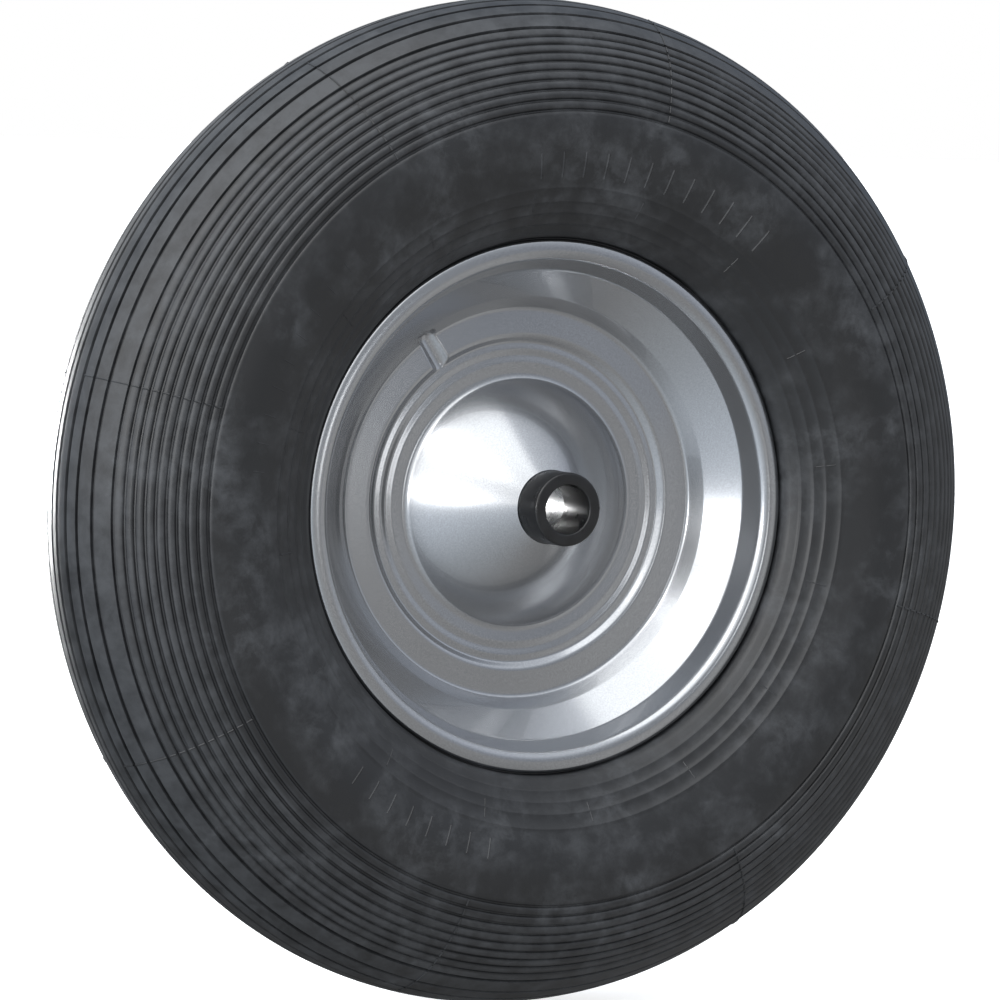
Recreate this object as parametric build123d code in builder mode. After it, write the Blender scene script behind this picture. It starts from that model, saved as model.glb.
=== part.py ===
from build123d import *
from math import cos, radians, sin
import os

os.makedirs("parts", exist_ok=True)

# Wheelbarrow wheel with a pneumatic ribbed tyre on a two-piece pressed steel rim.
# Millimetres, +Z up, origin at the wheel's centre. The axle runs along Y and the front is -Y.
# Sections are drawn on the XY plane with X as the radius, then turned about the Y axis.

# ---- tyre: its outline is three tangent arcs from the crown down to the rim's lip ----
tyre_radius = 206.5
crown_arc_radius, crown_arc_angle = 36.6, 23.0
shoulder_arc_radius, shoulder_arc_angle = 56.4, 85.9
sidewall_arc_radius, sidewall_arc_angle = 71.9, 21.6
casing = 5.0                                # rubber and cord thickness
flange_gap = 0.3                            # rubber held clear of the steel
rib_groove_depth = 1.3
crown_groove_width, shoulder_groove_width = 1.5, 1.3
# each tread groove is placed by the tilt of the surface there: 0 on the crown, 90 on the side
crown_groove_tilts = [3.6, 13.5, 23.3, 31.3, 40.9]
shoulder_groove_tilts = [45.4 + 4.3 * step for step in range(9)]

# ---- bead wires ----
bead_wire_radius = 1.9
bead_wire_ring = 105.3
bead_wire_offset = 24.2
bead_bends = [0.5, 3.4, 1.0, 6.0]

# ---- rim: two mirror-image pressings of the same sheet, back to back on the centre plane ----
sheet = 2.0
lip_radius = 109.0
lip_offset = 31.4
lip_curl = 2.8
dome_arc = 226.8                            # the dome is nearly a cone: a wide arc, off the axle
dome_arc_centre = (-108.87, 158.07)
dome_foot = 49.3
notch_angle = 123.7                         # round-bottomed notch pressed across the raised ring
notch_radius = 4.6
notch_axis = 6.7
notch_start, notch_end = 68.0, 80.0

# ---- hub ----
tube_outer, tube_inner = 14.0, 12.0
tube_half = 32.6
collar_depth = 6.5
seat_clearance = 0.05
bush_outer, bush_bore = 15.0, 10.0
hub_half = 46.9
spigot_length = 7.8
running_clearance = 0.05

# ---- inner tube and its valve ----
tube_wall = 1.5
tube_gap = 0.3
valve_slope = 46.45                         # the valve leans back from the radius by this angle
valve_seat_radius, valve_seat_offset = 91.1, 15.5
valve_hole = 5.75
valve_base_radius = 7.8
base_start, base_end = -3.6, -2.1
stem_root, stem_top = 5.6, 5.1
stem_end = 18.0
insert_radius, insert_bore, insert_throat = 3.85, 2.7, 1.6
insert_start, insert_end = -1.0, 26.0
throat_end = 7.0
core_thread_radius, core_barrel_radius, core_chamber = 2.65, 2.0, 1.6
core_bottom, core_shoulder, core_top = 12.5, 20.0, 25.2
core_flange, core_inlet, core_outlet = 0.7, 0.85, 0.7
core_slot_depth, core_slot_width = 1.6, 1.7
seal_start, seal_end, seal_squeeze = 15.0, 17.6, 0.02
pin_radius, pin_collar = 0.5, 1.3
pin_tip, pin_foot = 25.6, 9.6
cup_start, cup_floor, cup_rim = 10.0, 10.4, 12.0
cup_outer, cup_inner = 1.8, 1.5
spring_start, spring_end = 13.35, 18.05
spring_coil, spring_wire, spring_pitch = 1.15, 0.18, 0.94
cap_radius, cap_skirt, cap_end = 5.0, 19.5, 29.5
cap_liner_start, cap_liner_end = 26.1, 27.2
cap_flutes, flute_radius, flute_ring, flute_end = 12, 0.7, 5.35, 26.0


def save(piece, name):
    """Label one finished piece and write it as its own STEP file."""
    piece.part.label = name
    export_step(piece.part, f"parts/{name}.step")


def tyre_arcs(inset):
    """The three tangent arcs of the tyre's outline, inset from the outer surface."""
    crown = CenterArc(
        center=(tyre_radius - crown_arc_radius, 0),
        radius=crown_arc_radius - inset,
        start_angle=0,
        arc_size=-crown_arc_angle,
    )
    shoulder = JernArc(crown @ 1, crown % 1, shoulder_arc_radius - inset, -shoulder_arc_angle)
    return JernArc(shoulder @ 1, shoulder % 1, sidewall_arc_radius - inset, -sidewall_arc_angle)


def groove_place(tilt):
    """Where a tread groove sits on the outline, turned square to the rubber there."""
    crown_centre = Vector(tyre_radius - crown_arc_radius, 0)
    change = Vector(cos(radians(crown_arc_angle)), -sin(radians(crown_arc_angle)))
    shoulder_centre = crown_centre + change * (crown_arc_radius - shoulder_arc_radius)
    on_crown = tilt < crown_arc_angle
    centre = crown_centre if on_crown else shoulder_centre
    radius = crown_arc_radius if on_crown else shoulder_arc_radius
    return Pos(*centre) * Rot(0, 0, -tilt) * Pos(radius, 0)


# ================================ rim shells ================================


def dome_point(radius):
    """The point of the dome's visible face at a distance from the axle."""
    centre_radius, centre_y = dome_arc_centre
    return (radius, centre_y - (dome_arc**2 - (radius - centre_radius) ** 2) ** 0.5)


dome_start = dome_point(tube_outer + 1.2)

# visible face from the dome's foot over the rippled ring, up the slanted wall and round the lip
rim_outline = [
    dome_point(dome_foot),
    (51.5, -2.3),
    (57.8, -3.0),
    (60.4, -2.2),
    (63.0, -3.1),
    (65.8, -2.3),
    (68.6, -4.6),
    (79.8, -3.8),
    (84.7, -9.4),
    (96.7, -20.8),
    (101.0, -lip_offset),
    (105.0, -lip_offset),
    (lip_radius, -lip_offset + 1.0),
    (lip_radius, -lip_offset + lip_curl),
]
rim_bends = [4.0, 2.2, 1.2, 2.2, 1.2, 3.0, 2.2, 4.0, 3.0, 3.5, 7.0, 2.2]


def pressed_shell():
    """One dished steel half: lip, bead seat, slanted wall, flat ring, dome and hub collar."""
    with BuildSketch(Plane.XY) as section:
        with BuildLine():
            ThreePointArc(dome_start, dome_point(34), dome_point(dome_foot))
            FilletPolyline(*rim_outline, radius=rim_bends)
            offset(amount=sheet, side=Side.LEFT)
        make_face()
        with Locations((tube_outer + seat_clearance, dome_start[1] + 1.0)):
            Rectangle(sheet, collar_depth, align=(Align.MIN, Align.MIN))
    revolve(section.sketch, axis=Axis.Y)


def notch_rod(radius, start, end):
    """A rod lying along the notch's radius, between two distances from the axle."""
    outward = Vector(cos(radians(notch_angle)), 0, sin(radians(notch_angle)))
    middle = outward * start + Vector(0, -notch_axis, 0)
    rod = Plane(origin=middle, z_dir=outward) * Cylinder(
        radius, end - start, align=(Align.CENTER, Align.CENTER, Align.MIN)
    )
    return rod, Pos(*middle) * Sphere(radius)


notch_hollow, notch_mouth = notch_rod(notch_radius, notch_start, notch_end)
notch_wall, _ = notch_rod(notch_axis - seat_clearance, 66.4, notch_end + 1)
behind_ring = Pos(0, -2.6, 0) * Box(400, 80, 400, align=(Align.CENTER, Align.MIN, Align.CENTER))

with BuildPart() as rim_shell_front:
    pressed_shell()
    add(notch_wall & behind_ring)
    add([notch_hollow, notch_mouth], mode=Mode.SUBTRACT)
save(rim_shell_front, "rim_shell_front")

# The valve stands square on the rear shell's slanted wall, at the bottom of the wheel.
valve_origin = Vector(0, valve_seat_offset, -valve_seat_radius)
valve_direction = Vector(0, sin(radians(valve_slope)), cos(radians(valve_slope)))
valve_plane = Plane(origin=valve_origin, x_dir=(1, 0, 0), z_dir=valve_direction)

with BuildPart() as rim_shell_rear:
    pressed_shell()
    mirror(about=Plane.XZ, mode=Mode.REPLACE)
    with BuildSketch(valve_plane.offset(-5)):
        Circle(valve_hole)
    extrude(amount=10, mode=Mode.SUBTRACT)
save(rim_shell_rear, "rim_shell_rear")

# ================================ tyre and bead wires ================================

bead_toe = (99.0, -19.8)
bead_heel = (102.5, -lip_offset + lip_curl + flange_gap)
bead_shelf = (lip_radius + 0.6, bead_heel[1])

with BuildPart() as tyre:
    with BuildSketch(Plane.XY):
        with BuildLine():
            outside = tyre_arcs(0)
            inside = tyre_arcs(casing)
            Line((tyre_radius, 0), (tyre_radius - casing, 0))
            FilletPolyline(
                outside @ 1,
                bead_shelf,
                bead_heel,
                bead_toe,
                (110.0, -20.2),
                inside @ 1,
                radius=bead_bends,
            )
        make_face()
        for tilts, width in (
            (crown_groove_tilts, crown_groove_width),
            (shoulder_groove_tilts, shoulder_groove_width),
        ):
            with Locations(*[groove_place(tilt) for tilt in tilts]):
                Rectangle(2 * rib_groove_depth, width, mode=Mode.SUBTRACT)
        with Locations((bead_wire_ring, -bead_wire_offset)):
            Circle(bead_wire_radius + seat_clearance, mode=Mode.SUBTRACT)
        mirror(about=Plane.XZ)
    revolve(axis=Axis.Y)
save(tyre, "tyre")

for side, name in ((-1, "bead_wire_front"), (1, "bead_wire_rear")):
    with BuildPart() as bead_wire:
        with BuildSketch(Plane.XY):
            with Locations((bead_wire_ring, side * bead_wire_offset)):
                Circle(bead_wire_radius)
        revolve(axis=Axis.Y)
    save(bead_wire, name)

# ================================ inner tube ================================

tube_inset = casing + tube_gap

with BuildPart() as inner_tube:
    with BuildSketch(Plane.XY):
        with BuildLine():
            outside = tyre_arcs(tube_inset)
            Polyline(
                outside @ 1,
                (110.3, -19.8),
                (100.0, -17.6),
                (87.9, -6.3),
                (86.6, 0),
                (tyre_radius - tube_inset, 0),
            )
        make_face()
        mirror(about=Plane.XZ)
        offset(amount=-tube_wall, mode=Mode.SUBTRACT)
    revolve(axis=Axis.Y)
    with BuildSketch(valve_plane.offset(-15)):
        Circle(insert_throat)
    extrude(amount=14, mode=Mode.SUBTRACT)
save(inner_tube, "inner_tube")

# ================================ hub ================================

with BuildPart() as hub_tube:
    with BuildSketch(Plane.XY):
        with Locations(((tube_outer + tube_inner) / 2, 0)):
            Rectangle(tube_outer - tube_inner, 2 * tube_half)
    revolve(axis=Axis.Y)
    chamfer(hub_tube.edges().filter_by(GeomType.CIRCLE), length=0.3)
save(hub_tube, "hub_tube")

shoulder_start = tube_half + seat_clearance
spigot_radius = tube_inner - running_clearance

with BuildPart() as bush_rear:
    with BuildSketch(Plane.XY):
        with BuildLine():
            Polyline(
                (bush_bore, shoulder_start - spigot_length),
                (spigot_radius, shoulder_start - spigot_length),
                (spigot_radius, shoulder_start),
                (bush_outer, shoulder_start),
                (bush_outer, hub_half),
                (bush_bore, hub_half),
                close=True,
            )
        make_face()
    revolve(axis=Axis.Y)
    rims = bush_rear.edges().filter_by(GeomType.CIRCLE).group_by(Axis.Y)[-1]
    fillet(rims.sort_by(SortBy.RADIUS)[-1], radius=1.0)
    chamfer(rims.sort_by(SortBy.RADIUS)[0], length=0.4)
save(bush_rear, "bush_rear")

with BuildPart() as bush_front:
    add(bush_rear.part)
    mirror(about=Plane.XZ, mode=Mode.REPLACE)
save(bush_front, "bush_front")

# ================================ valve ================================
# Heights are measured along the valve from the rim's visible face, outwards.


def ring(low, high, outer, inner=0.0):
    """Add a round ring or disc to the part being built, standing on the valve's axis."""
    with BuildSketch(valve_plane.offset(low)) as section:
        Circle(outer)
        if inner:
            Circle(inner, mode=Mode.SUBTRACT)
    extrude(section.sketch, amount=high - low)


with BuildPart() as valve_stem_rubber:
    ring(base_start, base_end, valve_base_radius)
    with BuildSketch(valve_plane.offset(base_end)):
        Circle(stem_root)
    with BuildSketch(valve_plane.offset(stem_end)):
        Circle(stem_top)
    loft()
    ring(insert_start, stem_end, insert_radius)
    with BuildSketch(valve_plane.offset(insert_start)):
        Circle(insert_radius)
    extrude(amount=stem_end - insert_start, mode=Mode.SUBTRACT)
    with BuildSketch(valve_plane.offset(base_start)):
        Circle(insert_throat)
    extrude(amount=4, mode=Mode.SUBTRACT)
save(valve_stem_rubber, "valve_stem_rubber")

with BuildPart() as valve_stem_insert:
    ring(insert_start, throat_end, insert_radius, insert_throat)
    ring(throat_end, insert_end, insert_radius, insert_bore)
save(valve_stem_insert, "valve_stem_insert")

with BuildPart() as valve_core_body:
    ring(core_bottom, core_bottom + core_flange, core_barrel_radius, core_inlet)
    ring(core_bottom + core_flange, core_shoulder - core_flange, core_barrel_radius, core_chamber)
    ring(core_shoulder - core_flange, core_shoulder, core_barrel_radius, core_outlet)
    ring(core_shoulder, core_top, core_thread_radius, core_outlet)
    with BuildSketch(valve_plane.offset(core_top - core_slot_depth)):
        Rectangle(3 * core_thread_radius, core_slot_width)
    extrude(amount=2 * core_slot_depth, mode=Mode.SUBTRACT)
save(valve_core_body, "valve_core_body")

with BuildPart() as valve_core_seal:
    ring(seal_start, seal_end, insert_bore - seal_squeeze, core_barrel_radius + seal_squeeze)
save(valve_core_seal, "valve_core_seal")

with BuildPart() as valve_pin:
    ring(pin_foot, pin_tip, pin_radius)
    ring(spring_end + 0.05, spring_end + 0.6, pin_collar)
save(valve_pin, "valve_pin")

with BuildPart() as valve_pin_cup:
    ring(cup_start, cup_floor, cup_outer, pin_radius)
    ring(cup_floor, cup_rim, cup_outer, cup_inner)
save(valve_pin_cup, "valve_pin_cup")

with BuildPart() as valve_pin_seal:
    ring(cup_floor, core_bottom - seal_squeeze, cup_inner, pin_radius)
save(valve_pin_seal, "valve_pin_seal")

with BuildPart() as valve_spring:
    coil = Helix(
        pitch=spring_pitch,
        height=spring_end - spring_start - 2 * spring_wire,
        radius=spring_coil,
        center=valve_plane.offset(spring_start + spring_wire).origin,
        direction=valve_direction,
    )
    with BuildSketch(Plane(origin=coil @ 0, z_dir=coil % 0)):
        Circle(spring_wire)
    sweep(path=coil)
save(valve_spring, "valve_spring")

with BuildPart() as valve_cap:
    ring(cap_skirt, cap_end, cap_radius)
    top = valve_cap.faces().filter_by(GeomType.PLANE).sort_by(Axis.Z)[-1]
    fillet(top.edges(), radius=1.2)
    with BuildSketch(valve_plane.offset(cap_skirt)):
        Circle(insert_radius + seat_clearance)
    extrude(amount=cap_liner_end - cap_skirt, mode=Mode.SUBTRACT)
    with BuildSketch(valve_plane.offset(cap_skirt)):
        with PolarLocations(flute_ring, cap_flutes):
            Circle(flute_radius)
    extrude(amount=flute_end - cap_skirt, mode=Mode.SUBTRACT)
save(valve_cap, "valve_cap")

with BuildPart() as valve_cap_liner:
    ring(cap_liner_start, cap_liner_end, insert_radius)
save(valve_cap_liner, "valve_cap_liner")
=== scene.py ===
# %% [markdown]
# # A wheelbarrow wheel
# The real thing is a moulded rubber tyre with fine ribs round its tread, on a rim of two dished steel
# pressings sprayed with metallic silver enamel. A long hub sticks out of the domes at both ends, with a
# black plastic bush in each. This file dresses the measured model in smooth meshes and real finishes.
# Everything round is a section turned about the axle, so most of the work is drawing good sections.

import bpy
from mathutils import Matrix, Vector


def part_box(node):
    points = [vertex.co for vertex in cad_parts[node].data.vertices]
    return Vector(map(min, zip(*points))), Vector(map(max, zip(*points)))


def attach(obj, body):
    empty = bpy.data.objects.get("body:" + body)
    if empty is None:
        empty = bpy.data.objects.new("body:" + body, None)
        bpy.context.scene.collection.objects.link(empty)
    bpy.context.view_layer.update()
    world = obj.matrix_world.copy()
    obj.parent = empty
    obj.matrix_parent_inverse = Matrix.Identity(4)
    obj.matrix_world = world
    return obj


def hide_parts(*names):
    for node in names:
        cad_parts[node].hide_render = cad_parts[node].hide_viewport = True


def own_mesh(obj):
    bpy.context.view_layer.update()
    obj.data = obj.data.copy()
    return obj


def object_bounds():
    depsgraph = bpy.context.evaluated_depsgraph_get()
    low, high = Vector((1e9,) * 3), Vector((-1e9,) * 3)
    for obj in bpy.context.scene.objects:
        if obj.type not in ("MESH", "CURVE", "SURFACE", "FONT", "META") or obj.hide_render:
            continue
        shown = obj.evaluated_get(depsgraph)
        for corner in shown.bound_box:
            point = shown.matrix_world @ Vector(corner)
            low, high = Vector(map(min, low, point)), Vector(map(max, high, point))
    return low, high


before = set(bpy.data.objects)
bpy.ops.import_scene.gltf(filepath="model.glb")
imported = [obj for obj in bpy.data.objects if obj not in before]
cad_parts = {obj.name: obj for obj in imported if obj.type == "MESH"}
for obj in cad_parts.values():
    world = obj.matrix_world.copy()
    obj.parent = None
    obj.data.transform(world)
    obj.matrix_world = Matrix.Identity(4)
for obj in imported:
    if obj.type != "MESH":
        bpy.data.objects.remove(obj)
cad_low, cad_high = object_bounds()
print("measured size in metres:", [round(high - low, 4) for low, high in zip(cad_low, cad_high)])

# %% [markdown]
# ## Units
# Pressing and moulding drawings are in millimetres, and so are all sizes here. Blender works in
# metres, so one factor turns the one into the other where a mesh is made.

# %% Tools
from math import acos, atan2, cos, degrees, hypot, radians, sin, sqrt, tan

import bmesh
import bpy
from mathutils import Matrix, Vector

MM = 0.001


def box_radius(node):
    """The outer radius of a round node about the axle, in millimetres."""
    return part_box(node)[1].x / MM


# %% [markdown]
# ## Drawing a section
# A pressed or moulded section is straight runs joined by bends, so the outline is a short list of
# corners with a radius for each. The function replaces every corner by its arc. Arcs with a known
# centre are worked out directly. All sections use (radius, place along the axle), in millimetres.

# %% Section tools


def arc_points(centre, radius, start, end, step=2.5):
    """Points on an arc, from the start angle to the end angle in degrees, both included."""
    count = max(2, int(abs(end - start) / step) + 1)
    angles = [radians(start + (end - start) * i / count) for i in range(count + 1)]
    return [(centre[0] + radius * cos(a), centre[1] + radius * sin(a)) for a in angles]


def rounded(corners, radii, bend_step=12.0):
    """A run of straight lines whose inner corners are arcs of the given radii."""
    points = [corners[0]]
    for before, corner, after, radius in zip(corners, corners[1:], corners[2:], radii):
        to_before = (Vector(before) - Vector(corner)).normalized()
        to_after = (Vector(after) - Vector(corner)).normalized()
        half = acos(max(-1.0, min(1.0, to_before.dot(to_after)))) / 2
        middle = (to_before + to_after).normalized()
        centre = Vector(corner) + middle * radius / sin(half)
        start = Vector(corner) + to_before * radius / tan(half) - centre
        swing = start.angle_signed(Vector(corner) + to_after * radius / tan(half) - centre)
        count = max(2, int(degrees(abs(swing)) / bend_step) + 1)
        for i in range(count + 1):
            turned = start.copy()
            turned.rotate(Matrix.Rotation(-swing * i / count, 2))
            points.append(tuple(centre + turned))
    return points + [corners[-1]]


def spaced(points, gap):
    """The same line with extra points, so that no two are further apart than the gap."""
    dense = [points[0]]
    for a, b in zip(points, points[1:]):
        count = max(1, int(hypot(b[0] - a[0], b[1] - a[1]) / gap + 0.999))
        dense += [(a[0] + (b[0] - a[0]) * i / count, a[1] + (b[1] - a[1]) * i / count)
                  for i in range(1, count + 1)]
    return dense


def beside(points, distance):
    """The line moved sideways to its left, for the far face of a sheet."""
    moved = []
    for i, point in enumerate(points):
        a, b = points[max(0, i - 1)], points[min(len(points) - 1, i + 1)]
        along = Vector((b[0] - a[0], b[1] - a[1])).normalized()
        moved.append((point[0] - along.y * distance, point[1] + along.x * distance))
    return moved


test_bend = rounded([(0, 0), (10, 0), (10, 10)], [2])
print("a bend of 2 mm ends at", [round(v, 3) for v in test_bend[-2]])

# %% [markdown]
# ## Turning a section into a solid
# A turned, pressed or moulded ring is its section spun about an axis. Blender's Screw modifier would do
# it with even steps. Spinning in code lets the steps be closer together where something is pressed into
# the ring, and closes the skin without a seam.

# %% Spin


def even_angles(count):
    """Evenly spaced angles all round, in degrees."""
    return [360 * i / count for i in range(count)]


def to_mesh_object(name, vertices, faces):
    """A smooth-shaded object from points in millimetres."""
    mesh = bpy.data.meshes.new(name)
    mesh.from_pydata([Vector(v) * MM for v in vertices], [], faces)
    mesh.validate()
    made = bpy.data.objects.new(name, mesh)
    bpy.context.scene.collection.objects.link(made)
    return made


def face_out(made):
    """Merges doubles and turns every face outwards."""
    shape = bmesh.new()
    shape.from_mesh(made.data)
    bmesh.ops.remove_doubles(shape, verts=shape.verts, dist=1e-7)
    bmesh.ops.recalc_face_normals(shape, faces=shape.faces)
    shape.to_mesh(made.data)
    shape.free()


def smooth(made, sharp_angle=35):
    """Smooth shading that keeps edges sharper than the angle."""
    for polygon in made.data.polygons:
        polygon.use_smooth = True
    made.data.set_sharp_from_angle(angle=radians(sharp_angle))
    return made


def spin(name, section, angles, axle=True, reshape=None):
    """A ring with a closed section of (radius, along) points, about Y, or about Z where axle is False."""
    vertices, faces = [], []
    for angle in angles:
        c, s = cos(radians(angle)), sin(radians(angle))
        for place_in_section, (radius, along) in enumerate(section):
            if reshape:
                radius, along = reshape(radius, along, angle, place_in_section)
            vertices.append((radius * c, along, radius * s) if axle else (radius * c, radius * s, along))
    count, around = len(section), len(angles)
    for i in range(around):
        for j in range(count):
            a, b = i * count + j, i * count + (j + 1) % count
            c, d = (a + count) % (around * count), (b + count) % (around * count)
            faces.append((a, b, d, c))
    made = to_mesh_object(name, vertices, faces)
    face_out(made)
    return made


# %% [markdown]
# ## Colours and nodes
# Paint charts and sample books give colours as sRGB hex, so one function turns those to the linear
# values that Blender works in. One more adds a node with its settings and links, which keeps each
# material short enough to read as a recipe.

# %% Material tools


def linear(code):
    """A linear colour from an sRGB hex code."""
    parts = [int(code[i:i + 2], 16) / 255 for i in (0, 2, 4)]
    return tuple(p / 12.92 if p <= 0.04045 else ((p + 0.055) / 1.055) ** 2.4 for p in parts) + (1.0,)


def add_node(tree, kind, inputs=(), **settings):
    """Adds a node. A value in inputs that is a socket is linked, and any other is set."""
    node = tree.nodes.new(kind)
    for name, value in settings.items():
        setattr(node, name, value)
    for key, value in dict(inputs).items():
        if isinstance(value, bpy.types.NodeSocket):
            tree.links.new(value, node.inputs[key])
        else:
            node.inputs[key].default_value = value
    return node


def ramp(tree, factor, stops):
    """A colour ramp from (position, colour) stops."""
    node = add_node(tree, "ShaderNodeValToRGB", {"Fac": factor})
    while len(node.color_ramp.elements) < len(stops):
        node.color_ramp.elements.new(0.5)
    for element, (place, colour) in zip(node.color_ramp.elements, stops):
        element.position = place
        element.color = colour
    return node.outputs["Color"]


def grey(value):
    """A grey for a ramp that drives a number."""
    return (value, value, value, 1.0)


def new_material(name, **constants):
    """A material with a Principled shader, whose constant values sit on its own sockets."""
    material = bpy.data.materials.new(name)
    material.use_nodes = True
    shader = material.node_tree.nodes["Principled BSDF"]
    for socket, value in constants.items():
        shader.inputs[socket.replace("_", " ")].default_value = value
    return material, material.node_tree, shader


def object_noise(tree, size_mm, detail=2.0, roughness=0.5, distortion=0.0):
    """Noise on object coordinates, whose lumps are about size_mm across."""
    place = add_node(tree, "ShaderNodeTexCoord").outputs["Object"]
    return add_node(tree, "ShaderNodeTexNoise", {
        "Vector": place, "Scale": 1 / (size_mm * MM), "Detail": detail,
        "Roughness": roughness, "Distortion": distortion}).outputs["Fac"]


def add_bump(tree, height, depth_mm, normal=None):
    """A bump of the given depth, on top of an earlier one if there is one."""
    inputs = {"Height": height, "Strength": 1.0, "Distance": depth_mm * MM}
    if normal:
        inputs["Normal"] = normal
    return add_node(tree, "ShaderNodeBump", inputs).outputs["Normal"]


# %% [markdown]
# ## Tyre rubber
# Natural and butadiene rubber, blackened with carbon and cured in a steel mould. New rubber is satin,
# not matt: its waxes bloom to the surface, and handling leaves paler smears and dust on whatever stands
# out. So the colour is a warm black with cloudy grey patches, the gloss varies with the same patches,
# and the mould's blasted surface gives a fine grain. The rib tops are painted paler as well, partly dust
# and partly painted light: lighter tops against grooves in shade.

# %% Tyre rubber


def tyre_rubber():
    material, tree, shader = new_material("moulded_tyre_rubber", IOR=1.50)
    clouds = object_noise(tree, 40, detail=5.0, roughness=0.6, distortion=0.15)
    smears = object_noise(tree, 11, detail=6.0, roughness=0.68, distortion=0.25)
    raised = add_node(tree, "ShaderNodeAttribute", attribute_name="raised").outputs["Fac"]
    patch = ramp(tree, clouds, [(0.40, grey(0.0)), (0.62, grey(1.0))])
    fleck = ramp(tree, smears, [(0.42, grey(0.1)), (0.66, grey(1.0))])
    smeared = add_node(tree, "ShaderNodeMath", {0: patch, 1: fleck}, operation="MULTIPLY").outputs[0]
    # Rib tops painted paler: partly dust, partly painted light standing in for light on the tops while the
    # grooves lie in shade.
    rib_top_dust_and_light = ramp(tree, smears, [(0.36, grey(0.08)), (0.62, grey(0.65))])
    dust_and_light_on_tops = add_node(tree, "ShaderNodeMath", {0: raised, 1: rib_top_dust_and_light}, operation="MULTIPLY").outputs[0]
    smears_and_paler_tops = add_node(tree, "ShaderNodeMath", {0: smeared, 1: dust_and_light_on_tops}, operation="MAXIMUM").outputs[0]
    colour = ramp(tree, smears_and_paler_tops, [(0.0, linear("1c1d1f")), (1.0, linear("414346"))])
    tree.links.new(colour, shader.inputs["Base Color"])
    gloss = ramp(tree, smears_and_paler_tops, [(0.0, grey(0.38)), (1.0, grey(0.54))])
    tree.links.new(gloss, shader.inputs["Roughness"])
    lumps = add_bump(tree, object_noise(tree, 16, detail=2.0), 0.22)
    tree.links.new(add_bump(tree, object_noise(tree, 1.1, detail=3.0), 0.035, lumps), shader.inputs["Normal"])
    return material


# %% [markdown]
# ## Silver wheel enamel
# Sprayed on the degreased pressing and stoved: aluminium flakes in a clear binder that flows out
# glossy. The flakes lie nearly flat, so the colour is bright where it faces a light and dark away from
# it, which is how a metallic with medium roughness behaves, and the clear top gives sharp reflections.

# %% Silver enamel


def silver_enamel():
    material, tree, shader = new_material(
        "silver_flake_enamel", Metallic=1.0, Coat_Weight=1.0, Coat_Roughness=0.03)
    flakes = object_noise(tree, 0.5, detail=2.0)
    drift = object_noise(tree, 60, detail=2.0)
    colour = ramp(tree, flakes, [(0.35, linear("a3a5a8")), (0.70, linear("b1b3b6"))])
    tree.links.new(colour, shader.inputs["Base Color"])
    gloss = ramp(tree, drift, [(0.30, grey(0.20)), (0.70, grey(0.26))])
    tree.links.new(gloss, shader.inputs["Roughness"])
    orange_peel = object_noise(tree, 5.0, detail=1.0)
    tree.links.new(add_bump(tree, orange_peel, 0.003), shader.inputs["Normal"])
    return material


# %% [markdown]
# ## The small finishes
# Polyamide bushes are moulded black and satin. The hub tube is bright zinc plate. The valve is turned
# brass in black rubber, with a moulded plastic cap. Each has its own short recipe.

# %% Small finishes


def black_polyamide():
    material, tree, shader = new_material("moulded_black_polyamide", IOR=1.53)
    cloud = object_noise(tree, 6, detail=3.0)
    colour = ramp(tree, cloud, [(0.3, linear("0c0c0e")), (0.75, linear("141517"))])
    tree.links.new(colour, shader.inputs["Base Color"])
    gloss = ramp(tree, cloud, [(0.3, grey(0.26)), (0.7, grey(0.36))])
    tree.links.new(gloss, shader.inputs["Roughness"])
    tree.links.new(add_bump(tree, object_noise(tree, 0.7, detail=2.0), 0.02), shader.inputs["Normal"])
    return material


def plated_tube():
    material, tree, shader = new_material("bright_zinc_plate", Metallic=1.0)
    cloud = object_noise(tree, 5, detail=3.0)
    colour = ramp(tree, cloud, [(0.3, linear("d9dadc")), (0.7, linear("eceded"))])
    tree.links.new(colour, shader.inputs["Base Color"])
    gloss = ramp(tree, cloud, [(0.3, grey(0.24)), (0.7, grey(0.32))])
    tree.links.new(gloss, shader.inputs["Roughness"])
    return material


def valve_brass():
    material, tree, shader = new_material("turned_brass", Metallic=1.0)
    tarnish = object_noise(tree, 2.5, detail=4.0)
    colour = ramp(tree, tarnish, [(0.35, linear("8f6f37")), (0.7, linear("c9a55c"))])
    tree.links.new(colour, shader.inputs["Base Color"])
    gloss = ramp(tree, tarnish, [(0.3, grey(0.42)), (0.7, grey(0.24))])
    tree.links.new(gloss, shader.inputs["Roughness"])
    return material


def plain_rubber():
    material, tree, shader = new_material("moulded_stem_rubber", IOR=1.52)
    bloom = object_noise(tree, 4, detail=4.0)
    colour = ramp(tree, bloom, [(0.35, linear("1b1b1c")), (0.75, linear("2c2c2d"))])
    tree.links.new(colour, shader.inputs["Base Color"])
    gloss = ramp(tree, bloom, [(0.3, grey(0.48)), (0.7, grey(0.66))])
    tree.links.new(gloss, shader.inputs["Roughness"])
    tree.links.new(add_bump(tree, object_noise(tree, 0.6, detail=2.0), 0.03), shader.inputs["Normal"])
    return material


def cap_plastic():
    material, tree, shader = new_material("moulded_black_polyethylene", IOR=1.51)
    scuff = object_noise(tree, 1.6, detail=4.0, roughness=0.7)
    colour = ramp(tree, scuff, [(0.45, linear("151516")), (0.8, linear("2a2a2b"))])
    tree.links.new(colour, shader.inputs["Base Color"])
    gloss = ramp(tree, scuff, [(0.3, grey(0.24)), (0.7, grey(0.42))])
    tree.links.new(gloss, shader.inputs["Roughness"])
    return material


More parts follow.
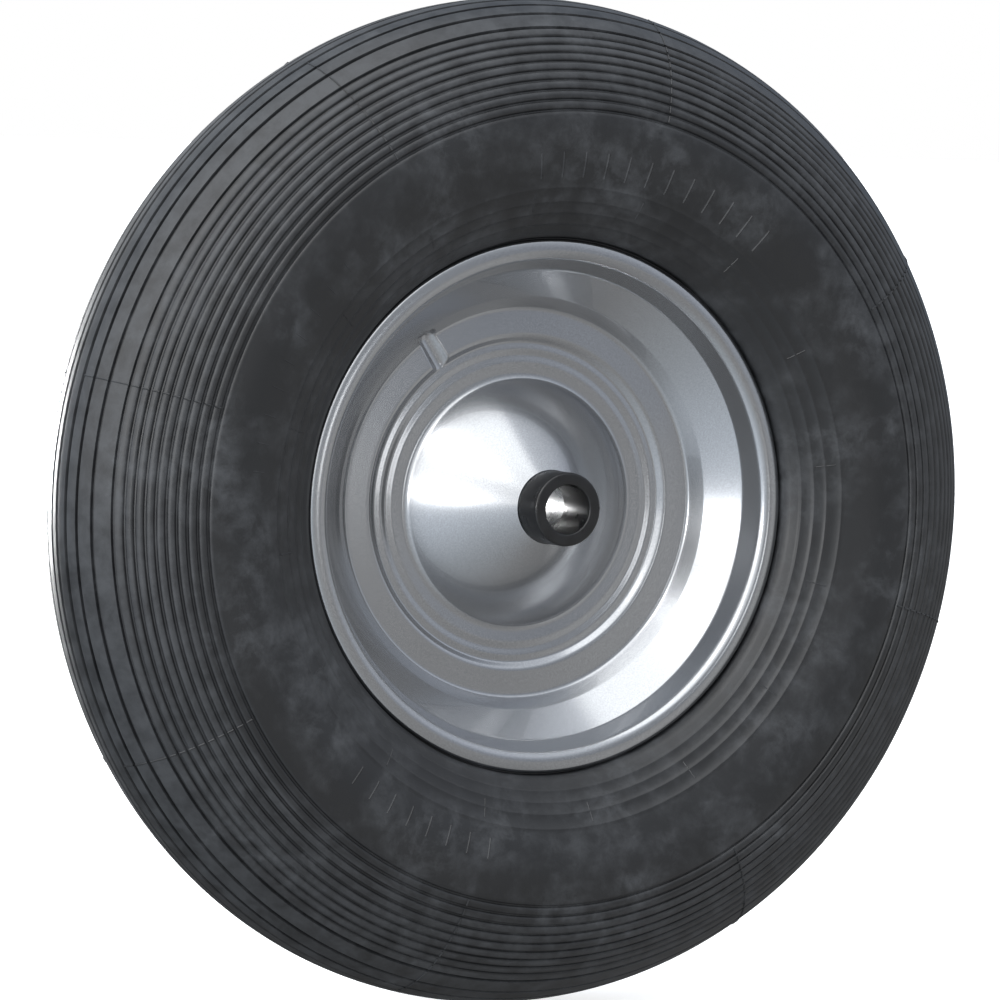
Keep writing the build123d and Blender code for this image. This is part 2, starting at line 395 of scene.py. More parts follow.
def drawn_steel():
    material, tree, shader = new_material("drawn_steel_wire", Metallic=1.0)
    streak = object_noise(tree, 1.2, detail=3.0)
    colour = ramp(tree, streak, [(0.3, linear("8c8c8e")), (0.7, linear("b4b5b8"))])
    tree.links.new(colour, shader.inputs["Base Color"])
    gloss = ramp(tree, streak, [(0.3, grey(0.28)), (0.7, grey(0.4))])
    tree.links.new(gloss, shader.inputs["Roughness"])
    return material


RUBBER = tyre_rubber()
ENAMEL = silver_enamel()
POLYAMIDE = black_polyamide()
ZINC = plated_tube()
BRASS = valve_brass()
STEM_RUBBER = plain_rubber()
CAP_PLASTIC = cap_plastic()
STEEL = drawn_steel()
FINISHES = (RUBBER, ENAMEL, POLYAMIDE, ZINC, BRASS, STEM_RUBBER, CAP_PLASTIC, STEEL)
print("finishes:", [finish.name for finish in FINISHES])


def place(made, body, material, slot, *nodes, sharp_angle=35):
    """Finishes a piece: shading, material, the body it moves with and the nodes it stands for."""
    smooth(made, sharp_angle)
    made.data.materials.clear()
    made.data.materials.append(material)
    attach(made, body)
    if nodes:
        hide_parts(*nodes)
    low, high = [Vector(c) for c in (made.bound_box[0], made.bound_box[6])]
    print(made.name, "faces", len(made.data.polygons), "size mm", [round(v / MM, 1) for v in high - low])
    return made

# %% [markdown]
# ## Geometry Nodes trees
# Ribs, mould lines and raised marks repeat round the wheel, so node trees make them. Each tree takes
# its sizes as named inputs and ends by making its copies real and setting the material, and the
# result is then kept as a plain mesh.

# %% Tree tools


def new_tree(name, **floats):
    """A geometry tree with a Geometry input and output and named number inputs."""
    tree = bpy.data.node_groups.new(name, "GeometryNodeTree")
    tree.interface.new_socket("Geometry", in_out="INPUT", socket_type="NodeSocketGeometry")
    for label, value in floats.items():
        kind = "NodeSocketInt" if isinstance(value, int) else "NodeSocketFloat"
        socket = tree.interface.new_socket(label.replace("_", " "), in_out="INPUT", socket_type=kind)
        socket.default_value = value
    tree.interface.new_socket("Material", in_out="INPUT", socket_type="NodeSocketMaterial")
    tree.interface.new_socket("Geometry", in_out="OUTPUT", socket_type="NodeSocketGeometry")
    entry = tree.nodes.new("NodeGroupInput")
    return tree, entry.outputs


def end_tree(tree, geometry, material):
    """Makes copies real, sets the material and joins the result to the output."""
    real = add_node(tree, "GeometryNodeRealizeInstances", {"Geometry": geometry}).outputs[0]
    painted = add_node(tree, "GeometryNodeSetMaterial", {"Geometry": real, "Material": material}).outputs[0]
    tree.links.new(painted, tree.nodes.new("NodeGroupOutput").inputs["Geometry"])


def grow(name, seed_object, tree, material, **values):
    """Runs a tree on an object and keeps the result as a plain mesh in a new object."""
    modifier = seed_object.modifiers.new(name, "NODES")
    modifier.node_group = tree
    sockets = {item.name: item.identifier for item in tree.interface.items_tree if item.in_out == "INPUT"}
    modifier[sockets["Material"]] = material
    for label, value in values.items():
        modifier[sockets[label.replace("_", " ")]] = value
    bpy.context.view_layer.update()
    evaluated = seed_object.evaluated_get(bpy.context.evaluated_depsgraph_get())
    mesh = bpy.data.meshes.new_from_object(evaluated)
    mesh.name = name
    seed_object.modifiers.remove(modifier)
    bpy.data.objects.remove(seed_object)
    made = bpy.data.objects.new(name, mesh)
    bpy.context.scene.collection.objects.link(made)
    return made


def wire_object(name, points, closed=False):
    """An object of edges only, through flat points in millimetres, for a tree to work on."""
    ends = [(len(points) - 1, 0)] if closed else []
    edges = [(i, i + 1) for i in range(len(points) - 1)] + ends
    mesh = bpy.data.meshes.new(name)
    mesh.from_pydata([Vector((*p, 0)) * MM for p in points], edges, [])
    made = bpy.data.objects.new(name, mesh)
    bpy.context.scene.collection.objects.link(made)
    return made


def thicken(tree, line, radius, sides):
    """A round rod along a curve, closed at both ends."""
    circle = add_node(tree, "GeometryNodeCurvePrimitiveCircle", {
        "Radius": radius, "Resolution": sides}).outputs["Curve"]
    return add_node(tree, "GeometryNodeCurveToMesh", {
        "Curve": line, "Profile Curve": circle, "Fill Caps": True}).outputs[0]


# %% [markdown]
# ## The tyre's section
# A tyre's mould is cut on a lathe, so its outline is a few tangent arcs: a tight one over the crown, a
# wide one round the shoulder and a slack one down the sidewall. The tread is grooves cut square to
# those arcs. On the crown they leave flat ribs about 8 mm wide with a thin raised edge; on the shoulder
# they leave rounded ribs 4 mm apart. Fine raised rings follow the rim's lip.

# %% Tyre section
TYRE_RADIUS = box_radius("tyre")
CROWN_RADIUS, CROWN_ANGLE = 36.6, 23.0
SHOULDER_RADIUS, SHOULDER_ANGLE = 56.4, 85.9
SIDE_RADIUS, SIDE_ANGLE = 71.9, 21.6
CASING = 5.0
INSIDE_MEASURE = 0.002  # keeps the dressed tyre within the measured one, whatever the rounding
CROWN_CENTRE = Vector((TYRE_RADIUS - CROWN_RADIUS, 0))


def away(tilt):
    """The direction square to the rubber where it is tilted this far from the crown, on the front."""
    return Vector((cos(radians(tilt)), -sin(radians(tilt))))


SHOULDER_CENTRE = CROWN_CENTRE + away(CROWN_ANGLE) * (CROWN_RADIUS - SHOULDER_RADIUS)
SIDE_START = CROWN_ANGLE + SHOULDER_ANGLE
SIDE_CENTRE = SHOULDER_CENTRE + away(SIDE_START) * (SHOULDER_RADIUS - SIDE_RADIUS)
SIDE_END = SIDE_START + SIDE_ANGLE


def on_tyre(tilt, raised=0.0):
    """The point of the tyre's outline with this tilt, raised above it or sunk below it."""
    if tilt < CROWN_ANGLE:
        centre, radius = CROWN_CENTRE, CROWN_RADIUS
    elif tilt < SIDE_START:
        centre, radius = SHOULDER_CENTRE, SHOULDER_RADIUS
    else:
        centre, radius = SIDE_CENTRE, SIDE_RADIUS
    return tuple(centre + away(tilt) * (radius + raised - INSIDE_MEASURE))


def arc_radius(tilt):
    """The radius of the outline's arc at this tilt."""
    return CROWN_RADIUS if tilt < CROWN_ANGLE else SHOULDER_RADIUS if tilt < SIDE_START else SIDE_RADIUS


CROWN_GROOVES = [3.6, 13.5, 23.3, 31.3, 40.9]
SHOULDER_GROOVES = [45.4 + 4.3 * step for step in range(9)]
BEAD_RINGS = [111.5, 116.5, 120.6, 124.8]
print("ribs end", [round(v, 1) for v in on_tyre(80)], "widest", [round(v, 1) for v in on_tyre(90)])


def height_steps():
    """The (tilt, height) corners of grooves, raised edges and rings, from the crown to the bead."""
    steps = []
    for tilt in CROWN_GROOVES:
        half = degrees(0.75 / arc_radius(tilt))
        steps += [(tilt - 1.5 * half, 0.0), (tilt - 0.9 * half, -1.2), (tilt + 0.5 * half, -1.2),
                  (tilt + 1.0 * half, 0.0), (tilt + 1.9 * half, 0.0)]
    for tilt in SHOULDER_GROOVES:
        half = degrees(0.62 / SHOULDER_RADIUS)
        steps += [(tilt - 1.7 * half, -0.12), (tilt - half, -0.45), (tilt - 0.45 * half, -1.15),
                  (tilt + 0.45 * half, -1.15), (tilt + half, -0.45), (tilt + 1.7 * half, -0.12)]
    for tilt in BEAD_RINGS:
        half = degrees(0.35 / arc_radius(tilt))
        steps += [(tilt - 1.6 * half, 0.0), (tilt - 0.6 * half, 0.18), (tilt + 0.6 * half, 0.18),
                  (tilt + 1.6 * half, 0.0)]
    return steps


def tyre_section():
    """The closed outline: front half from crown to bead, bead, casing inside, and its mirror."""
    steps = height_steps()
    corners = [tilt for tilt, _ in steps]
    fill = [t * 2.0 for t in range(1, int(SIDE_END / 2.0) + 1)]
    clear = [t for t in fill if all(abs(t - c) > 0.55 for c in corners)]
    known = sorted(steps + [(t, None) for t in clear if t < SIDE_END - 1])
    outside = [on_tyre(0)]
    for i, (tilt, height) in enumerate(known):
        if height is None:
            before = next((h for t, h in reversed(known[:i]) if h is not None), 0.0)
            after = next((h for t, h in known[i:] if h is not None), 0.0)
            height = 0.0 if before == after == -0.12 else max(before, after)
            height = min(height, 0.0)
        outside.append(on_tyre(tilt, height))
    outside.append(on_tyre(SIDE_END))
    inside_end = tuple(SIDE_CENTRE + away(SIDE_END) * (SIDE_RADIUS - CASING))
    bead = rounded(
        [outside[-1], (109.6, -28.3), (102.5, -28.3), (99.0, -19.8), (110.0, -20.2), inside_end],
        [0.5, 3.4, 1.0, 6.0])
    inner = [on_tyre(t, -CASING) for t in range(int(SIDE_END) - 8, 0, -8)]
    front = outside + bead[1:] + inner
    rear = [(r, -y) for r, y in reversed(front[1:])]
    crown_inside = on_tyre(0, -CASING)
    return front + [crown_inside] + rear


section = tyre_section()
print("tyre section has", len(section), "points")

# %% [markdown]
# ## Sweeping the tyre
# The section is carried round a circle in a small tree: the circle is the middle of the casing and the
# section hangs on it. Enough steps go round for the outline to look truly round.

# %% Tyre body
SWEEP_RADIUS = 152.0


def sweep_tree():
    tree, given = new_tree("sweep_section_round_axle", Radius=SWEEP_RADIUS * MM, Steps=256)
    outline = add_node(tree, "GeometryNodeMeshToCurve", {"Mesh": given["Geometry"]}).outputs[0]
    circle = add_node(tree, "GeometryNodeCurvePrimitiveCircle", {
        "Radius": given["Radius"], "Resolution": given["Steps"]}).outputs["Curve"]
    swept = add_node(tree, "GeometryNodeCurveToMesh", {"Curve": circle, "Profile Curve": outline}).outputs[0]
    turned = add_node(tree, "GeometryNodeTransform", {
        "Geometry": swept, "Rotation": (radians(90), 0, 0)}).outputs[0]
    end_tree(tree, turned, given["Material"])
    return tree


profile_wire = wire_object("tyre_section", [(r - SWEEP_RADIUS, y) for r, y in section], closed=True)
tyre_body = grow("tyre_body", profile_wire, sweep_tree(), RUBBER)
face_out(tyre_body)


def height_above_outline(point):
    """How far a point stands above the tyre's plain outline, in millimetres."""
    radius, along = hypot(point.x, point.z) / MM, abs(point.y) / MM
    for low, high, centre, arc in ((0, CROWN_ANGLE, CROWN_CENTRE, CROWN_RADIUS),
                                   (CROWN_ANGLE, SIDE_START, SHOULDER_CENTRE, SHOULDER_RADIUS),
                                   (SIDE_START, SIDE_END, SIDE_CENTRE, SIDE_RADIUS)):
        tilt = degrees(atan2(along + centre.y, radius - centre.x))
        if low <= tilt < high:
            return hypot(radius - centre.x, along + centre.y) - arc
    return -CASING


# Marks the tread's rib tops, which the rubber paints paler with dust and painted light.
raised = tyre_body.data.attributes.new("raised", "FLOAT", "POINT")
for vertex in tyre_body.data.vertices:
    on_rib = abs(vertex.co.y) / MM < 46 and hypot(vertex.co.x, vertex.co.z) / MM > 158
    raised.data[vertex.index].value = 1.0 if on_rib and height_above_outline(vertex.co) > -0.2 else 0.0
place(tyre_body, "wheel", RUBBER, "tyre_rubber", "tyre", sharp_angle=50)

# %% [markdown]
# ## Marks left by the mould
# The mould is made in eight segments, and rubber creeps into each joint as a fine line across every
# rib. Short radial ticks near the bead come from its vents. Moulded wording is left out: rows of plain
# bars stand where it would be. One tree makes all of them: it thickens a drawn line and repeats it
# round the axle.

# %% Mould marks


def repeat_tree():
    tree, given = new_tree(
        "repeat_line_round_axle", Count=8, Start=0.0, Step=45.0, Thickness=0.3 * MM)
    line = add_node(tree, "GeometryNodeMeshToCurve", {"Mesh": given["Geometry"]}).outputs[0]
    thick = thicken(tree, line, given["Thickness"], 6)
    spots = add_node(tree, "GeometryNodePoints", {"Count": given["Count"]}).outputs[0]
    number = add_node(tree, "GeometryNodeInputIndex").outputs[0]
    degrees_round = add_node(tree, "ShaderNodeMath", {
        0: number, 1: given["Step"], 2: given["Start"]}, operation="MULTIPLY_ADD").outputs[0]
    turn = add_node(tree, "ShaderNodeMath", {0: degrees_round}, operation="RADIANS").outputs[0]
    back_turn = add_node(tree, "ShaderNodeMath", {0: turn, 1: -1.0}, operation="MULTIPLY").outputs[0]
    about_axle = add_node(tree, "ShaderNodeCombineXYZ", {"Y": back_turn}).outputs[0]
    copies = add_node(tree, "GeometryNodeInstanceOnPoints", {
        "Points": spots, "Instance": thick, "Rotation": about_axle}).outputs[0]
    end_tree(tree, copies, given["Material"])
    return tree


REPEAT = repeat_tree()


def outline_piece(start, end, raise_by, parts=6):
    """A line in space along the tyre's outline, from one tilt to another, on the front."""
    points = []
    for i in range(parts + 1):
        radius, along = on_tyre(start + (end - start) * i / parts, raise_by)
        points.append((radius, along, 0.0))
    return points


def lines_object(name, lines):
    """One object of edges holding several separate lines, each with its mirror on the other side."""
    vertices, edges = [], []
    for line in lines + [[(x, -y, z) for x, y, z in line] for line in lines]:
        first = len(vertices)
        vertices += [Vector(p) * MM for p in line]
        edges += [(first + i, first + i + 1) for i in range(len(line) - 1)]
    mesh = bpy.data.meshes.new(name)
    mesh.from_pydata(vertices, edges, [])
    made = bpy.data.objects.new(name, mesh)
    bpy.context.scene.collection.objects.link(made)
    return made


def mould_marks(name, lines, count, start, step, thickness):
    """Repeats drawn lines round the axle as thin raised rubber."""
    seed = lines_object(name + "_lines", lines)
    made = grow(name, seed, REPEAT, RUBBER, Count=count, Start=float(start), Step=float(step),
                Thickness=thickness * MM)
    face_out(made)
    return place(made, "wheel", RUBBER, "tyre_rubber")


grooves = CROWN_GROOVES + SHOULDER_GROOVES
seam_lines = [outline_piece(a + 0.8, b - 0.8, 0.0) for a, b in zip(grooves[1:], grooves[2:])]
mould_marks("segment_joints", seam_lines, 8, 30.6, 45, 0.38)
mould_marks("bead_ticks", [outline_piece(113.0, 119.6, -0.12)], 16, 8.0, 22.5, 0.3)
for name, low, high, count, first, spacing, thickness in (
        ("bars_top", 97.0, 108.0, 12, 52.0, 4.1, 0.55), ("bars_left", 98.0, 104.0, 9, 137.0, 4.6, 0.4),
        ("bars_low", 97.0, 106.0, 8, 229.0, 4.0, 0.5), ("bars_right", 97.0, 102.0, 12, 312.0, 3.0, 0.35)):
    mould_marks(name, [outline_piece(low, high, -0.28)], count, first, spacing, thickness)

# %% [markdown]
# ## Rim pressings
# Each half of the rim is one disc of 2 mm sheet, drawn in a press, so inside corners and outside corners
# differ by the sheet's thickness and every step is a soft bend. The lip rolls outwards to hold the
# tyre's bead, the slanted wall leads down to a flat ring with small steps, and the dome stands up from it.

# %% Rim section
SHEET = 2.0
LIP_RADIUS = box_radius("rim_shell_front")
LIP_OFFSET = 31.4
DOME_ARC, DOME_ARC_CENTRE = 226.8, (-108.87, 158.07)
DOME_START, DOME_FOOT = 15.2, 49.3


def dome_y(radius):
    """How far out the dome's face stands at a radius."""
    return DOME_ARC_CENTRE[1] - sqrt(DOME_ARC**2 - (radius - DOME_ARC_CENTRE[0])**2)


rim_corners = [
    (DOME_FOOT, dome_y(DOME_FOOT)), (51.5, -2.3), (57.8, -2.8), (60.4, -2.3), (63.0, -2.9),
    (65.8, -2.4), (68.6, -4.6), (79.8, -3.8), (84.7, -9.4), (96.7, -20.8), (101.2, -LIP_OFFSET),
    (105.8, -LIP_OFFSET), (LIP_RADIUS, -LIP_OFFSET + 1.0), (LIP_RADIUS, -LIP_OFFSET + 2.8),
]
rim_bends = [4.0, 3.6, 2.4, 3.6, 1.6, 3.0, 2.2, 4.0, 3.0, 4.6, 9.0, 2.2]
foot_angle = degrees(acos((DOME_FOOT - DOME_ARC_CENTRE[0]) / DOME_ARC))
start_angle = degrees(acos((DOME_START - DOME_ARC_CENTRE[0]) / DOME_ARC))
dome_line = arc_points(DOME_ARC_CENTRE, DOME_ARC, -start_angle, -foot_angle, step=0.4)
rim_face = dome_line + spaced(rounded(rim_corners, rim_bends, 8.0), 0.9)[1:]
rim_back = beside(rim_face, SHEET)
print("rim face has", len(rim_face), "points; dome stands at", round(dome_y(DOME_START), 2), "mm")

# %% [markdown]
# ## The pressed notch
# A short round-bottomed notch is pressed across the raised ring of the front disc and opens at the
# ring's inner edge. The press does it in one hit, which also rounds its mouth. Here the ring's points
# are moved along the axle until they lie on the punch: one cylinder for the visible face and a larger
# one for the back, so that the sheet keeps its thickness.

# %% Pressed notch
NOTCH_ANGLE, NOTCH_RADIUS, NOTCH_AXIS = 123.7, 4.6, 6.7
NOTCH_START, NOTCH_END = 68.0, 79.6
PRESS_BLEND = 0.5


def punch_distance(radius, angle):
    """Distance in the ring's plane from the middle line of the notch."""
    turn = radians(angle - NOTCH_ANGLE)
    along, across = radius * cos(turn), radius * sin(turn)
    return hypot(max(NOTCH_START - along, along - NOTCH_END, 0), across)


def pressed_to(height, wanted):
    """The further back of two heights, with a soft bend between them."""
    mix = max(0.0, min(1.0, 0.5 + (wanted - height) / (2 * PRESS_BLEND)))
    return height + (wanted - height) * mix + PRESS_BLEND * mix * (1 - mix)


def pressed_in(radius, along, angle, place_in_section):
    """Moves a point of the front disc back onto the punch."""
    on_face = place_in_section < len(rim_face)
    punch = NOTCH_RADIUS if on_face else NOTCH_AXIS - 0.05
    distance = punch_distance(radius, angle)
    if distance >= punch or radius > 83:
        return radius, along
    return radius, pressed_to(along, sqrt(punch**2 - distance**2) - NOTCH_AXIS)


close_angles = [NOTCH_ANGLE - 6 + 0.4 * i for i in range(31)]
coarse_angles = [a for a in even_angles(220) if abs(a - NOTCH_ANGLE) > 6.3]
rim_angles = sorted(coarse_angles + close_angles)
front_section = rim_face + list(reversed(rim_back))
rim_front = spin("rim_front_disc", front_section, rim_angles, reshape=pressed_in)
place(rim_front, "wheel", ENAMEL, "silver_enamel", "rim_shell_front", sharp_angle=50)
rim_rear = spin("rim_rear_disc", [(r, -y) for r, y in front_section], even_angles(240))
place(rim_rear, "wheel", ENAMEL, "silver_enamel", "rim_shell_rear", sharp_angle=50)

# %% [markdown]
# ## Hub tube and bushes
# A length of zinc-plated steel tube runs through both domes, and a moulded bush sits in each end. Both
# are plain rings, so each is one spun section with small moulded or filed edges.

# %% Hub tube and bushes
TUBE_OUTER, TUBE_INNER, TUBE_HALF = 14.0, 12.0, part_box("hub_tube")[1].y / MM
tube_section = rounded(
    [(13, -TUBE_HALF), (TUBE_OUTER, -TUBE_HALF), (TUBE_OUTER, TUBE_HALF), (TUBE_INNER, TUBE_HALF),
     (TUBE_INNER, -TUBE_HALF), (13, -TUBE_HALF)], [0.3, 0.3, 0.3, 0.3], 30)[:-1]
hub_tube = spin("hub_tube_plated", tube_section, even_angles(96))
place(hub_tube, "wheel", ZINC, "plated_tube", "hub_tube")

BUSH_OUTER, BUSH_BORE, SPIGOT = 15.0, 10.0, 11.95
BUSH_FACE, BUSH_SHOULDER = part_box("bush_rear")[1].y / MM, TUBE_HALF + 0.05
BUSH_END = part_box("bush_rear")[0].y / MM
bush_section = rounded(
    [(12, BUSH_FACE), (BUSH_BORE, BUSH_FACE), (BUSH_BORE, BUSH_END), (SPIGOT, BUSH_END),
     (SPIGOT, BUSH_SHOULDER), (BUSH_OUTER, BUSH_SHOULDER), (BUSH_OUTER, BUSH_FACE), (12, BUSH_FACE)],
    [0.7, 0.3, 0.5, 0.2, 0.4, 1.0], 15)[:-1]
bush_back = spin("bush_rear_moulded", bush_section, even_angles(96))
place(bush_back, "bushes", POLYAMIDE, "black_polyamide", "bush_rear")
bush_fore = spin("bush_front_moulded", [(r, -y) for r, y in bush_section], even_angles(96))
place(bush_fore, "bushes", POLYAMIDE, "black_polyamide", "bush_front")

# %% [markdown]
# ## The valve
# A rubber stem is pulled through the rear disc and seals on its inner face. A brass tube is bonded into
# it, with a thread on its end for the pump or the cap. The cap is moulded with flutes to grip. All three
# are spun about the valve's own line and then stood on the rim; the thread is rings 0.79 mm apart, and
# the flutes are made by letting the cap's radius follow the angle.

# %% Valve
VALVE_LEAN = 46.45
VALVE_SEAT = Vector((0, 15.5, -91.1))
VALVE_UP = Vector((0, sin(radians(VALVE_LEAN)), cos(radians(VALVE_LEAN))))
THREAD_PITCH, CAP_FLUTES = 0.79375, 12


def stand_on_rim(made):
    """Turns a piece made along Z to the valve's line and moves it to its seat."""
    turn = VALVE_UP.to_track_quat("Z", "Y").to_matrix().to_4x4()
    made.data.transform(Matrix.Translation(VALVE_SEAT * MM) @ turn)
    return made


def fluted(radius, height, angle, place_in_section):
    """Presses shallow flutes into the cap's outer skirt, stopping short of its top."""
    if radius < 4.6 or height > 27.4:
        return radius, height
    depth = 0.34 * max(0.0, cos(radians(angle * CAP_FLUTES))) ** 2
    return radius - depth, height


stem_section = rounded(
    [(3.87, -1), (1.62, -1), (1.62, -3.6), (7.8, -3.6), (7.8, -2.1), (5.75, -2.1), (5.2, 17.9), (3.87, 18)],
    [0.2, 0.3, 0.6, 0.5, 0.8, 0.5], 20)
stem = stand_on_rim(spin("valve_stem_moulded", stem_section, even_angles(64), axle=False))
place(stem, "wheel", STEM_RUBBER, "stem_rubber", "valve_stem_rubber")

crests = []
for turn in range(9):
    foot = 18.6 + turn * THREAD_PITCH
    crests += [(3.5, foot), (3.83, foot + 0.3), (3.83, foot + 0.42), (3.5, foot + 0.72)]
insert_section = [(1.6, -1), (3.83, -1), (3.83, 18.4)] + crests + [
    (3.5, 25.8), (3.3, 26.0), (2.7, 26.0), (2.7, 7.0), (1.6, 7.0)]
insert = stand_on_rim(spin("valve_stem_brass", insert_section, even_angles(64), axle=False))
place(insert, "wheel", BRASS, "valve_brass", "valve_stem_insert", sharp_angle=25)

cap_section = rounded(
    [(3.92, 27.15), (3.92, 19.5), (5.0, 19.5), (5.0, 29.5), (0.02, 29.5), (0.02, 27.2), (3.92, 27.15)],
    [0.3, 0.3, 1.2, 0.01, 0.01], 20)[:-1]
cap = stand_on_rim(spin("valve_cap_moulded", spaced(cap_section, 1.2), even_angles(144), axle=False,
                        reshape=fluted))
place(cap, "valve_cap", CAP_PLASTIC, "black_plastic", "valve_cap")

# %% [markdown]
# ## The valve's spring
# Steel wire wound on a mandrel, a little over four and a half turns. It pushes the pin's collar up
# and closes the valve. When a pump presses the pin, the spring shortens by the same amount.

# %% Valve spring
SPRING_START, SPRING_LENGTH, SPRING_COIL, SPRING_WIRE, SPRING_PITCH = 13.35, 4.7, 1.15, 0.18, 0.94


def spring_tree():
    wound = SPRING_LENGTH - 2 * SPRING_WIRE
    tree, given = new_tree(
        "wind_spring", Turns=wound / SPRING_PITCH, Coil=SPRING_COIL * MM, Height=wound * MM,
        Wire=SPRING_WIRE * MM, Foot=(SPRING_START + SPRING_WIRE) * MM)
    line = add_node(tree, "GeometryNodeCurveSpiral", {
        "Resolution": 24, "Rotations": given["Turns"], "Start Radius": given["Coil"],
        "End Radius": given["Coil"], "Height": given["Height"]}).outputs[0]
    thick = thicken(tree, line, given["Wire"], 10)
    lift = add_node(tree, "ShaderNodeCombineXYZ", {"Z": given["Foot"]}).outputs[0]
    lifted = add_node(tree, "GeometryNodeTransform", {"Geometry": thick, "Translation": lift}).outputs[0]
    end_tree(tree, lifted, given["Material"])
    return tree


spring = grow("valve_spring_wound", wire_object("spring_seed", [(0, 0), (1, 0)]), spring_tree(), STEEL)
face_out(stand_on_rim(spring))
place(spring, "wheel", STEEL, "spring_steel", "valve_spring")
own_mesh(spring)

# %% [markdown]
# ## Pieces kept as measured
# The inner tube, the bead wires and the valve's insides are turned or wound parts whose measured shapes
# are already right, and nothing shows of them from outside. They only need their finishes.

# %% Kept pieces
KEPT = {"valve_core_body": BRASS, "valve_core_seal": CAP_PLASTIC, "valve_pin": BRASS,
        "valve_pin_cup": BRASS, "valve_pin_seal": STEM_RUBBER, "valve_cap_liner": STEM_RUBBER,
        "inner_tube": STEM_RUBBER, "bead_wire_front": STEEL, "bead_wire_rear": STEEL}
for node_name, finish in KEPT.items():
    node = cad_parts[node_name]
    for material_slot in node.material_slots:
        material_slot.material = finish
print("kept nodes:", len(KEPT))

# %% [markdown]
# ## The stage
# A pale paper floor under a soft, uneven sky: bright on the left and dim on the right, with a mid-grey
# ground. Glossy enamel shows its surroundings, so it is this difference that gives the dome and the
# rings their shape. The camera itself sees plain white behind the wheel. Four small lamps add to it: a
# low one in the dome's left side, one that shines through the bore from behind, a panel that the wall
# throws back onto the dome's top, and one high on the left for the tyre's shoulder.

# %% Stage
FLOOR_SIZE, FLOOR_GAP = 60, 0.0005
bpy.ops.mesh.primitive_plane_add(size=FLOOR_SIZE, location=(0, 0, cad_low.z - FLOOR_GAP))
floor = bpy.context.object
floor.name = "studio_floor"
paper, _, _ = new_material(
    "studio_paper", Roughness=0.9, Base_Color=linear("f2f2f2"), Emission_Color=(1, 1, 1, 1),
    Emission_Strength=0.55)
floor.data.materials.append(paper)
floor.visible_glossy = False
floor.visible_diffuse = False


def share(tree, value, low, high):
    """Where a value lies between two others, from 0 to 1."""
    return add_node(tree, "ShaderNodeMapRange", {
        "Value": value, "From Min": low, "From Max": high}).outputs[0]


def times(tree, one, other):
    """Two colours multiplied."""
    return add_node(tree, "ShaderNodeMixRGB", {0: 1.0, 1: one, 2: other}, blend_type="MULTIPLY").outputs[0]


def glow(tree, colour, strength):
    """Light of a colour and a strength, for the world."""
    return add_node(tree, "ShaderNodeBackground", {"Color": colour, "Strength": strength}).outputs[0]


SKY_STRENGTH = 2.45


def sky():
    """A world with a bright left, a dim right, a grey ground and plain white for the camera."""
    world = bpy.data.worlds.new("studio_sky")
    bpy.context.scene.world = world
    world.use_nodes = True
    tree = world.node_tree
    direction = add_node(tree, "ShaderNodeTexCoord").outputs["Generated"]
    split = add_node(tree, "ShaderNodeSeparateXYZ", {0: direction}).outputs
    lean = add_node(tree, "ShaderNodeMath", {0: split["Z"], 1: -0.48, 2: split["X"]},
                    operation="MULTIPLY_ADD").outputs[0]
    across = ramp(tree, share(tree, lean, -1.5, 1.0), [
        (0.0, (1.0, 1.0, 1.0, 1)), (0.455, (0.96, 0.98, 1.0, 1)), (0.485, (0.44, 0.46, 0.49, 1)),
        (0.65, (0.37, 0.39, 0.42, 1)), (0.80, (0.30, 0.32, 0.36, 1)), (1.0, (0.20, 0.21, 0.22, 1))])
    behind = ramp(tree, share(tree, split["Y"], -1.0, 1.0), [
        (0.05, grey(0.45)), (0.20, grey(1.0)), (0.62, grey(1.0)), (0.76, (0.34, 0.40, 0.47, 1)),
        (0.86, (0.36, 0.40, 0.45, 1)), (0.93, grey(0.6))])
    above = times(tree, across, behind)
    behind_ground = ramp(tree, share(tree, split["Y"], -1.0, 1.0), [(0.55, grey(1.0)), (0.72, grey(0.35))])
    ground = ramp(tree, share(tree, split["X"], -1.0, 1.0), [
        (0.0, (0.48, 0.52, 0.57, 1)), (0.25, (0.30, 0.32, 0.34, 1)), (0.55, grey(0.20)), (0.73, grey(0.165)),
        (0.80, grey(0.25)), (1.0, grey(0.19))])
    below = ramp(tree, share(tree, split["Z"], -1.0, 0.0), [(0.0, grey(0.80)), (0.7, grey(1.0))])
    land = times(tree, times(tree, ground, below), behind_ground)
    upper = share(tree, split["Z"], -0.02, 0.01)
    lit = add_node(tree, "ShaderNodeMixRGB", {0: upper, 1: land, 2: above}).outputs[0]
    seen = add_node(tree, "ShaderNodeLightPath").outputs["Is Camera Ray"]
    mixed = add_node(tree, "ShaderNodeMixShader", {
        0: seen, 1: glow(tree, lit, SKY_STRENGTH), 2: glow(tree, (1, 1, 1, 1), 1.0)}).outputs[0]
    tree.links.new(mixed, tree.nodes["World Output"].inputs["Surface"])


sky()
bpy.context.scene.view_settings.view_transform = "Standard"


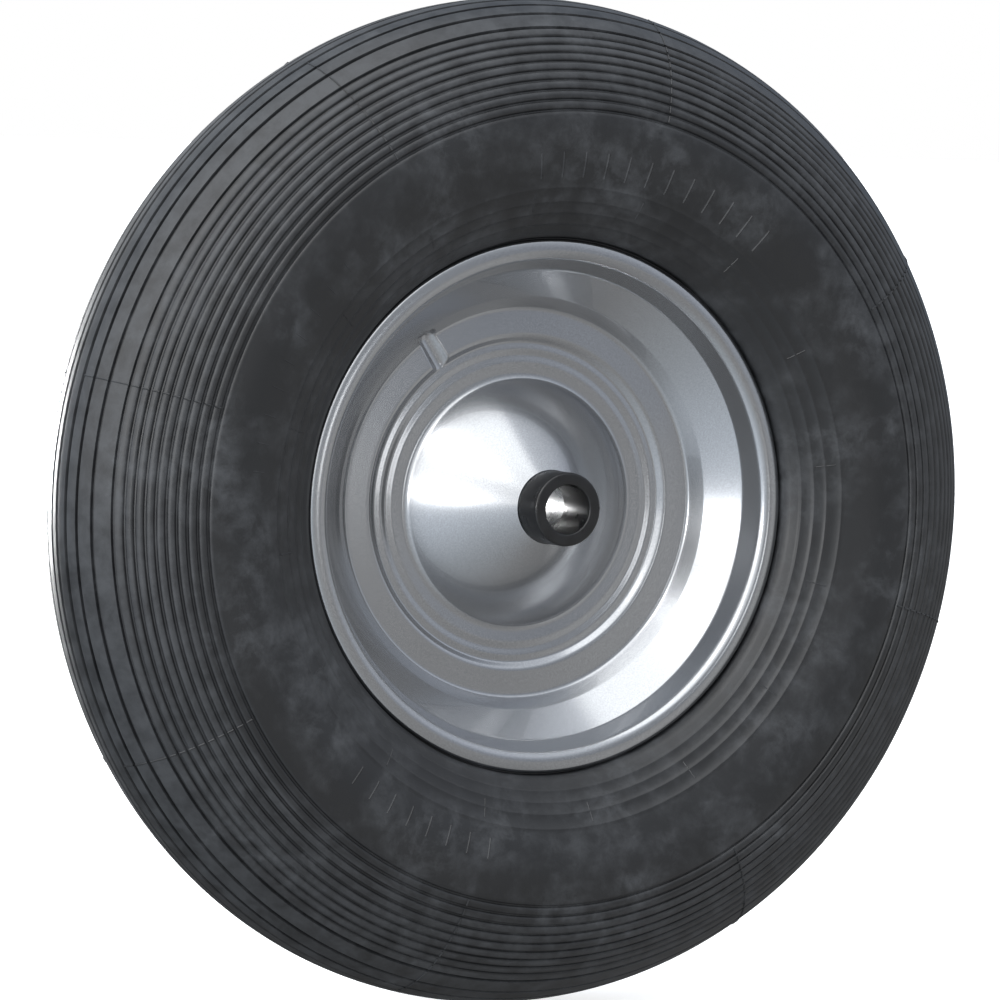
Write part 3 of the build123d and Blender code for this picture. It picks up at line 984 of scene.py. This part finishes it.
def soft_box(name, location, size, watts):
    """A square area light that looks at the wheel and doesn't show to the camera."""
    data = bpy.data.lights.new(name, "AREA")
    data.shape, data.size, data.energy = "SQUARE", size, watts
    light = bpy.data.objects.new(name, data)
    light.location = location
    light.rotation_euler = (-Vector(location)).to_track_quat("-Z", "Y").to_euler()
    light.visible_camera = False
    bpy.context.scene.collection.objects.link(light)
    return light


soft_box("low_light", (-3.2, -2.4, 0.24), 0.22, 22)
soft_box("light_through_the_bore", (-0.38, 1.42, 0.0), 0.16, 30)
soft_box("front_panel", (0.52, -3.0, 0.12), 0.5, 1.9)
soft_box("shoulder_sheen", (-1.7, -1.6, 1.8), 0.8, 9)

# %% [markdown]
# ## The camera
# A long lens a long way off, to the left and just above the axle. Distances are in lip radii, and the
# lens is a multiple of the frame's width.

# %% Camera
LIP_IN_VIEW = Vector((0, -LIP_OFFSET * MM, 0))
VIEW_SIDE, VIEW_UP, VIEW_ROLL = radians(-28.27), radians(3.58), radians(1.80)
DISTANCE, SHIFT_RIGHT, SHIFT_UP = 25.02, 0.186, -0.026
LENS_TO_FRAME = 6.710
back = Vector((sin(VIEW_SIDE) * cos(VIEW_UP), -cos(VIEW_SIDE) * cos(VIEW_UP), sin(VIEW_UP)))
level_right = Vector((cos(VIEW_SIDE), sin(VIEW_SIDE), 0))
level_up = back.cross(level_right)
right = cos(VIEW_ROLL) * level_right + sin(VIEW_ROLL) * level_up
up = -sin(VIEW_ROLL) * level_right + cos(VIEW_ROLL) * level_up
lip = LIP_RADIUS * MM
camera_data = bpy.data.cameras.new("camera")
camera_data.lens = LENS_TO_FRAME * camera_data.sensor_width
camera_data.clip_end = 100
camera = bpy.data.objects.new("camera", camera_data)
bpy.context.scene.collection.objects.link(camera)
spot = LIP_IN_VIEW + lip * (DISTANCE * back - SHIFT_RIGHT * right - SHIFT_UP * up)
camera.matrix_world = Matrix.Translation(spot) @ Matrix((right, up, back)).transposed().to_4x4()
bpy.context.scene.camera = camera
print("camera at", [round(v, 3) for v in spot])
